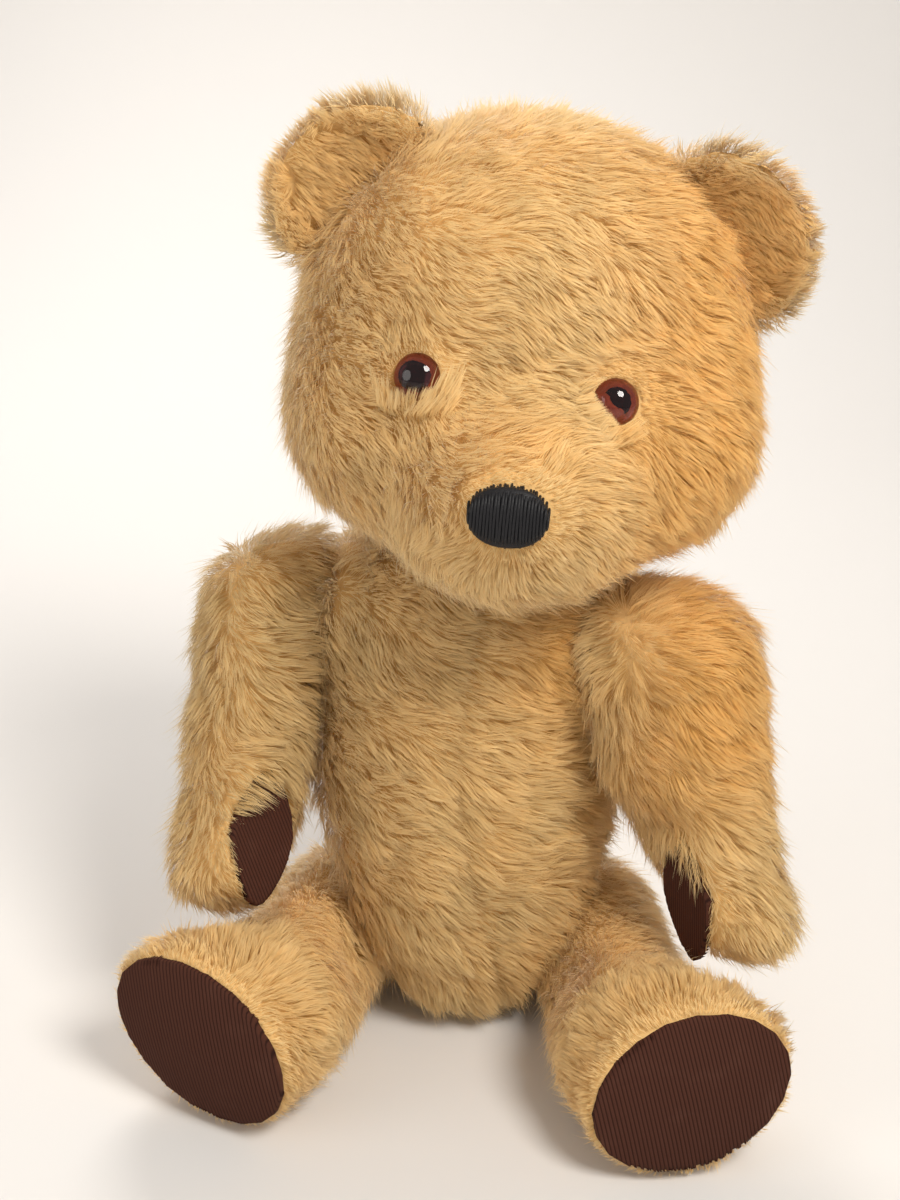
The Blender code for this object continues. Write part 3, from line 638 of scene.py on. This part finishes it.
def head_fade(p):
    side = soft(p[:, 0], 0.006, 0.050)
    bridge = np.exp(-(((p - BRIDGE) / 0.011)**2).sum(1))
    muzzle = np.exp(-(((p - NOSE) / 0.026)**2).sum(1))
    return 0.06 + 0.80 * side + 0.35 * bridge - 0.55 * muzzle * side + 0.13 * drift(p, 0.018, 7)


head = pelt("head_pelt", "head", "head", FACE_DETAILS, PILE_HEIGHT)
for name, keep in (("head_pile_right", lambda p: p[:, 0] < HEAD_MIDDLE),
                   ("head_pile_left", lambda p: p[:, 0] >= HEAD_MIDDLE)):
    pile(name, "head", head, head_comb, 0.0090, 59, details=FACE_DETAILS, keep=keep, fade=head_fade,
         thin=head_thin, stand=head_stand, per_mm2=2.7, tight=0.28)

# Below the eyes the pile is combed up and hides their lower part
for side, (centre, axis, radius), cover in zip(("right", "left"), eye_rooms, EYE_COVER):
    def in_fringe(p, centre=centre, radius=radius, cover=cover):
        off = p - centre
        along = off @ cover
        wide = np.linalg.norm(off - np.outer(along, cover), axis=1)
        return (along > 0.75 * radius) & (along < 1.8 * radius) & (wide < 1.5 * radius)

    def fringe_comb(p, n, cover=cover):
        return np.tile(-cover, (len(p), 1)) + np.array((0.40, 0.0, 0.0))

    pile("eye_fringe_" + side, "head", head, fringe_comb, 0.0112, 60, details=FACE_DETAILS, keep=in_fringe,
         fade=head_fade, over=lambda p: 0.006, per_mm2=3.6, tight=0.20, stray=0.0)

# Eyes
# A clear amber dome moulded over a black pupil, with its flat back painted a dark red brown.
PUPIL_SHARE = 0.66
amber_paint = Paint("amber_plastic", 0.03, transmission_weight=1.0, ior=1.49)
amber_paint.set("Base Color", (0.33, 0.085, 0.10))
iris_paint = Paint("painted_back", 0.25)
streaks = iris_paint.noise(900.0, 2.0)
iris_paint.set("Base Color", iris_paint.mix(streaks, (0.060, 0.015, 0.021), (0.120, 0.034, 0.044)))
pupil_paint = Paint("black_plastic", 0.12, coat_weight=0.5)
specks = pupil_paint.noise(700.0)
pupil_paint.set("Base Color", pupil_paint.mix(specks, (0.006, 0.004, 0.004), (0.016, 0.010, 0.010)))


def turned_piece(name, profile, centre, axis, paint, body, steps=48):
    """A round piece: its half profile of (radius, height) pairs, spun about its axis."""
    work = bmesh.new()
    turn = Vector(axis).to_track_quat("Z", "Y").to_matrix().to_4x4()
    line = [work.verts.new((r, 0, z)) for r, z in profile]
    edges = [work.edges.new(pair) for pair in zip(line, line[1:])]
    bmesh.ops.spin(work, geom=line + edges, cent=(0, 0, 0), axis=(0, 0, 1), angle=math.tau, steps=steps,
                   use_merge=True)
    bmesh.ops.remove_doubles(work, verts=work.verts, dist=1e-6)
    bmesh.ops.recalc_face_normals(work, faces=work.faces)
    bmesh.ops.transform(work, matrix=Matrix.Translation(Vector(centre)) @ turn, verts=work.verts)
    mesh = bpy.data.meshes.new(name)
    work.to_mesh(mesh)
    work.free()
    mesh.shade_smooth()
    mesh.set_sharp_from_angle(angle=math.radians(40))
    mesh.materials.append(paint.material)
    piece = bpy.data.objects.new(name, mesh)
    bpy.context.collection.objects.link(piece)
    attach(piece, body)
    return piece


for side, (centre, axis, radius) in zip(("right", "left"), eye_rooms):
    along = (node_corners("eye_dome_" + side) - centre) @ axis
    base, rise = centre + axis * along.min(), along.max() - along.min()
    bow = [math.radians(t) for t in range(0, 91, 9)]
    cup = [(radius * math.cos(t), rise * math.sin(t)) for t in bow]
    dome = turned_piece("eye_clear_dome_" + side, [(0, 0.0003), (radius * 0.985, 0.0003)] + cup, base, axis,
                        amber_paint, "head")
    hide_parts("eye_dome_" + side)
    ring = [(0, 0.0001), (radius * 0.97, 0.0001), (radius * 0.97, -0.0004), (0, -0.0004)]
    turned_piece("eye_painted_back_" + side, ring, base, axis, iris_paint, "head")
    bead = [(radius * PUPIL_SHARE * math.cos(t), 0.0016 * math.sin(t)) for t in bow]
    pupil = turned_piece("eye_black_pupil_" + side, [(0, 0.0002)] + bead, base + axis * 0.0002, axis,
                         pupil_paint, "head", 32)
    for node in ("eye_pupil_" + side, "eye_lock_washer_" + side):
        frame["nodes"][node].data.materials.clear()
        frame["nodes"][node].data.materials.append(pupil_paint.material)

# Nose
# A padded oval embroidered with upright black threads, close beside each other, that dive into the muzzle.
THREADS = 25
NOSE_SQUARE = 2.3
THREAD_RADIUS = 0.00052
PADDING_SHARE = 0.90
thread_paint = Paint("black_thread", 0.50, specular_ior_level=0.28)
twist = thread_paint.coordinates((2600, 2600, 900), (0, 0.5, 0))
thread_paint.set("Base Color", thread_paint.mix(thread_paint.noise(1.0, 2.0, twist), (0.004, 0.004, 0.005),
                                                (0.019, 0.018, 0.020)))
thread_paint.bump(thread_paint.noise(1.0, 2.0, twist), 0.6, 0.0002)
nose_mesh = frame["nodes"]["nose"].data
nose_face = unit(sum(np.array(f.normal) * f.area for f in nose_mesh.polygons if f.normal.y < -0.3))
nose_across = unit(np.cross((0, 0, 1), nose_face))
nose_across = nose_across * np.sign(nose_across[0])
nose_up = np.cross(nose_face, nose_across)
nose_up = nose_up * np.sign(nose_up[2])
spread = node_corners("nose") - NOSE
half_wide, half_high = abs(spread @ nose_across).max(), abs(spread @ nose_up).max()
depth = (spread @ nose_face).min(), (spread @ nose_face).max()
work = bmesh.new()
bmesh.ops.create_uvsphere(work, u_segments=36, v_segments=18, radius=1.0)
for vert in work.verts:
    u, w, v = vert.co
    square = math.hypot(u, v) / max((abs(u)**NOSE_SQUARE + abs(v)**NOSE_SQUARE)**(1 / NOSE_SQUARE), 1e-6)
    out = depth[0] + (depth[1] - depth[0]) * (w + 1) / 2
    vert.co = Vector(NOSE + nose_across * u * square * half_wide * PADDING_SHARE
                     + nose_up * v * square * half_high * PADDING_SHARE + nose_face * out)
bmesh.ops.recalc_face_normals(work, faces=work.faces)
nose_tree = BVHTree.FromBMesh(work)
padding_mesh = bpy.data.meshes.new("nose_padding")
work.to_mesh(padding_mesh)
work.free()
padding_mesh.shade_smooth()
padding_mesh.materials.append(thread_paint.material)
padding = bpy.data.objects.new("nose_padding", padding_mesh)
bpy.context.collection.objects.link(padding)
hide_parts("nose")
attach(padding, "head")
curve = bpy.data.curves.new("nose_threads", "CURVE")
curve.dimensions = "3D"
curve.bevel_depth = THREAD_RADIUS
curve.bevel_resolution = 1
for i in range(THREADS):
    u = 2 * (i + 0.5) / THREADS - 1
    limit = (1 - abs(u)**NOSE_SQUARE)**(1 / NOSE_SQUARE) * half_high * 0.91 * (1 + 0.018 * rng.normal())
    sway = rng.normal() * 0.00015
    line = curve.splines.new("POLY")
    steps = np.linspace(-1, 1, 11)
    line.points.add(len(steps) - 1)
    for point, v in zip(line.points, steps):
        place = NOSE + nose_across * (u * half_wide * 0.93 + sway * v) + nose_up * limit * v
        hit = nose_tree.ray_cast(Vector(place + nose_face * 0.01), Vector(-nose_face), 0.03)[0]
        base = np.array(hit) if hit else place - nose_face * 0.0006
        dip = 0.00035 * (1 - abs(v)**6) - 0.0020 * abs(v)**6
        point.co = (*(base + nose_face * dip), 1.0)
        point.radius = 1.0 - 0.25 * abs(v)**4
threads = bpy.data.objects.new("nose_threads", curve)
bpy.context.collection.objects.link(threads)
sewn = bpy.data.meshes.new_from_object(threads.evaluated_get(bpy.context.evaluated_depsgraph_get()))
bpy.data.objects.remove(threads)
sewn.shade_smooth()
sewn.materials.clear()
sewn.materials.append(thread_paint.material)
threads = bpy.data.objects.new("nose_threads", sewn)
bpy.context.collection.objects.link(threads)
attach(threads, "head")

# Ears
# Each ear is two layers of plush, cupped and sewn across the seam of the head. Its pile runs out to the rim.
for side, outward in (("right", (-0.80, -0.15, 0.60)), ("left", (0.87, -0.15, 0.50))):
    middle = node_corners("ear_" + side).mean(0)

    def at_rim(p, middle=middle):
        return soft(np.linalg.norm(p - middle, axis=1), 0.014, 0.026)

    def ear_comb(p, n, outward=np.array(outward), at_rim=at_rim):
        return np.array((0.35, -0.10, -0.25)) + outward[None] * (0.30 + 0.9 * at_rim(p))[:, None]

    # The cup is a deeper gold than the rim: partly the ear's own orange and partly painted shade in its
    # hollow
    def ear_tint_and_shade(p, base=0.26 if side == "right" else 0.46, at_rim=at_rim):
        return base + 0.12 * drift(p, 0.012, 8) + 0.14 - 0.40 * at_rim(p)

    # The shorter pile in the cup is also painted darker by pile(), as painted shade
    def ear_thin(p, at_rim=at_rim):
        return 0.74 + 0.26 * at_rim(p)

    ear = pelt("ear_pelt_" + side, "ear_" + side, "head", [], 0.0014, sewn_to="head")
    pile("ear_pile_" + side, "head", ear, ear_comb, 0.0076, 55, fade=ear_tint_and_shade, thin=ear_thin, per_mm2=4.6,
         stand=lambda p, at_rim=at_rim: 30 * at_rim(p), tight=0.18)

# Arms
# Stuffed tubes on disc joints, with a brown cotton pad let into the palm. The pile of the left one
# spreads from its closing seam.
CLOSING_SEAM = np.array(((0.0345, -0.0290, 0.1520), (0.0395, -0.0445, 0.1375)))


def from_seam(p):
    """The way to each point from the nearest place on the left arm's closing seam."""
    start, run = CLOSING_SEAM[0], CLOSING_SEAM[1] - CLOSING_SEAM[0]
    return p - start - np.clip((p - start) @ run / (run @ run), 0, 1)[:, None] * run


for side in ("right", "left"):
    pad = "paw_pad_" + side

    def arm_comb(p, n, side=side):
        low = soft(p[:, 2], 0.105, 0.065)
        outer = soft(n[:, 0], -0.30, -0.95)
        over = (0.85 - 0.15 * low) * (1 - outer)
        sweep = np.stack([over, np.full(len(p), -0.10), -0.45 - 0.20 * low - 0.6 * outer], 1)
        if side == "right":
            return sweep
        off = from_seam(p)
        burst = soft(np.linalg.norm(off, axis=1), 0.017, 0.004)[:, None]
        return sweep * (1 - burst) + unit(off + np.array((0, 0, -0.004))) * burst

    def arm_thin(p, side=side):
        if side == "right":
            return np.ones(len(p))
        # Along the left arm's closing seam the pile is shorter and painted darker: painted shade in its
        # pucker
        return 1.0 - 0.60 * np.exp(-(np.linalg.norm(from_seam(p), axis=1) / 0.0024)**2)

    def arm_fade(p, side=side):
        if side == "right":
            return 0.10 + 0.12 * drift(p, 0.02, 9)
        upper = soft(p[:, 2], 0.075, 0.125) * soft(p[:, 0], 0.036, 0.055)
        return 0.18 + 0.80 * upper + 0.14 * drift(p, 0.02, 9)

    def over_pad(p, top=node_corners(pad)[:, 2].max()):
        return 0.013 * soft(p[:, 2], top - 0.012, top - 0.003)

    arm = pelt("arm_pelt_" + side, "arm_" + side, "arm_" + side, [pad], PILE_HEIGHT)
    # The arms' pile is painted darker, as painted shade, the right arm most
    pile("arm_pile_" + side, "arm_" + side, arm, arm_comb, 0.0098, 59, details=[pad], fade=arm_fade,
         thin=arm_thin, over=over_pad, painted_shade=0.34 if side == "right" else 0.22)

# Legs
# Stuffed tubes that broaden to the foot, whose sole is closed by an oval pad.
LEG_PILE_HEIGHT = 0.0028
for side in ("right", "left"):
    pad = "foot_pad_" + side
    sole = node_corners(pad).mean(0)
    hip = np.array(next(j["pos_m"] for j in frame["joints"] if j["name"] == "hip_" + side))

    def leg_comb(p, n, sole=sole, hip=hip):
        down = unit(sole - hip)
        rim = soft(np.linalg.norm(p - sole, axis=1), 0.044, 0.034)[:, None]
        return (down * 0.5 + np.array((0.55, 0.0, -0.45))) * (1 - rim) + unit(p - sole) * rim

    # A little more orange gold near the hip is painted shade where the leg meets the body; the drift is
    # random tone
    def leg_tint_and_hip_shade(p, hip=hip):
        return 0.14 + 0.06 * soft(np.linalg.norm(p - hip, axis=1), 0.065, 0.03) + 0.12 * drift(p, 0.02, 10)

    leg = pelt("leg_pelt_" + side, "leg_" + side, "leg_" + side, [pad], LEG_PILE_HEIGHT)
    pile("leg_pile_" + side, "leg_" + side, leg, leg_comb, 0.0088, 57, details=[pad], fade=leg_tint_and_hip_shade,
         tight=0.30)

# Pads
# Dark brown cotton with fine upright ribs, cut to an oval or a leaf and sewn in edge down.
RIB_PITCH = 0.00120
RIB_HEIGHT = 0.00020
RIB_WAY = np.array((-0.27, 0.0, 0.96))
FACES_PER_RIB = 6
PAD_ROWS = 26
PAD_HEM = 0.0016
cotton_paint = Paint("brown_ribbed_cotton", 0.90, specular_ior_level=0.10)
ribs = cotton_paint.node("ShaderNodeUVMap", {"uv_map": "ribs"})
weave = cotton_paint.node("ShaderNodeMapping", {}, {"Vector": ribs, "Scale": (5.0, 22.0, 1.0)})
grain = cotton_paint.noise(1.0, 2.0, weave)
worn = cotton_paint.noise(90.0, 4.0)
brown = cotton_paint.mix(grain, (0.058, 0.020, 0.012), (0.098, 0.038, 0.025))
brown = cotton_paint.mix(worn.smooth(0.52, 0.80) * 0.35, brown, (0.125, 0.056, 0.038))
rib_share = cotton_paint.node("ShaderNodeSeparateXYZ", {}, {"Vector": ribs}).part()
# The grooves between the ribs are painted darker: painted shade in the recesses
groove_shade = (rib_share - 0.5).sum("ABSOLUTE").smooth(0.22, 0.50)
cotton_paint.set("Base Color", cotton_paint.mix(groove_shade, brown, (0.030, 0.011, 0.008)))
cotton_paint.bump(grain, 0.55, 0.0003)


def ribbed_pad(node, body):
    """The pad's grid runs along its ribs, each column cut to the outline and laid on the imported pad."""
    mesh = frame["nodes"][node].data
    places = corners_of(mesh)
    centre = places.mean(0)
    spread = np.linalg.svd(places - centre)[2]
    face = spread[2] * np.sign(spread[2] @ (centre - limb_middles[body]))
    up = unit(RIB_WAY - face * (RIB_WAY @ face))
    over = np.cross(up, face)
    flat = np.stack([(places - centre) @ over, (places - centre) @ up], 1)
    hull = outline_of(flat)
    wide = np.array((hull[:, 0].min(), hull[:, 0].max())) * 0.995
    columns = int((wide[1] - wide[0]) / RIB_PITCH * FACES_PER_RIB)
    work = bmesh.new()
    bmesh.ops.create_grid(work, x_segments=columns, y_segments=PAD_ROWS, size=1.0)
    layer = work.loops.layers.uv.new("ribs")
    tree = tree_of([node])
    fold = 1.0 - 2.0 / columns
    for vert in work.verts:
        u, v = vert.co.x, vert.co.y
        x = wide[0] + (wide[1] - wide[0]) * (u + 1) / 2
        low, high = chord(hull, x)
        y = low + (high - low) * (v + 1) / 2
        start = centre + over * x + up * y
        hit = tree.ray_cast(Vector(start + face * 0.02), Vector(-face), 0.05)[0]
        lift = (np.array(hit) - centre) @ face if hit else ((places - centre) @ face).min() + 0.0012
        rib = RIB_HEIGHT * abs(math.sin(math.pi * x / RIB_PITCH))**0.7
        edge = max(abs(u) - fold, 0) / (1 - fold) + max(abs(v) - 0.985, 0) / 0.015
        vert.co = Vector(centre + over * x + up * y + face * (lift + rib - 0.0004 * min(edge, 1)))
    rim = [e for e in work.edges if e.is_boundary]
    hem = bmesh.ops.extrude_edge_only(work, edges=rim)["geom"]
    turned_in = [v for v in hem if isinstance(v, bmesh.types.BMVert)]
    bmesh.ops.translate(work, verts=turned_in, vec=Vector(-face) * PAD_HEM)
    for f in work.faces:
        for loop in f.loops:
            off = np.array(loop.vert.co) - centre
            loop[layer].uv = ((off @ over) / RIB_PITCH, (off @ up) / RIB_PITCH)
    bmesh.ops.recalc_face_normals(work, faces=work.faces)
    if sum(f.normal.dot(Vector(face)) * f.calc_area() for f in work.faces) < 0:
        bmesh.ops.reverse_faces(work, faces=work.faces)
    cloth = bpy.data.meshes.new(node + "_cloth")
    work.to_mesh(cloth)
    work.free()
    cloth.shade_smooth()
    cloth.materials.append(cotton_paint.material)
    piece = bpy.data.objects.new(node + "_cloth", cloth)
    bpy.context.collection.objects.link(piece)
    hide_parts(node)
    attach(piece, body)


def outline_of(flat):
    """The pad's outline: the outermost corner in each of many directions, in order."""
    ways = np.radians(np.arange(0, 360, 4))
    reach = flat @ np.stack([np.cos(ways), np.sin(ways)])
    outer = flat[reach.argmax(0)]
    return outer[np.r_[True, np.abs(np.diff(outer, axis=0)).sum(1) > 1e-9]]


def chord(hull, x):
    """Lowest and highest point of the outline at one rib."""
    ends = []
    for (ax, ay), (bx, by) in zip(hull, np.roll(hull, -1, axis=0)):
        if (ax - x) * (bx - x) <= 0 and abs(ax - bx) > 1e-9:
            ends.append(ay + (by - ay) * (x - ax) / (bx - ax))
    return (min(ends), max(ends)) if ends else (0.0, 0.0)


limb_middles = {limb + "_" + side: node_corners(limb + "_" + side).mean(0)
                for limb in ("arm", "leg") for side in ("right", "left")}
for side in ("right", "left"):
    ribbed_pad("paw_pad_" + side, "arm_" + side)
    ribbed_pad("foot_pad_" + side, "leg_" + side)

# Discs, washers and pins
# What holds the joints, inside the stuffing: pressed hardboard and bent steel wire.
board_paint = Paint("hardboard", 0.75)
fibres = board_paint.noise(500.0)
board_paint.set("Base Color", board_paint.mix(fibres, (0.17, 0.09, 0.045), (0.30, 0.18, 0.09)))
steel_paint = Paint("steel", 0.32, metallic=1.0)
dulling = steel_paint.noise(300.0)
steel_paint.set("Base Color", steel_paint.mix(dulling, (0.42, 0.41, 0.39), (0.62, 0.61, 0.58)))
for name, part in frame["nodes"].items():
    if name.endswith(("_disc", "_washer", "_pin")) and "eye" not in name:
        part.data.materials.clear()
        part.data.materials.append((board_paint if name.endswith("_disc") else steel_paint).material)
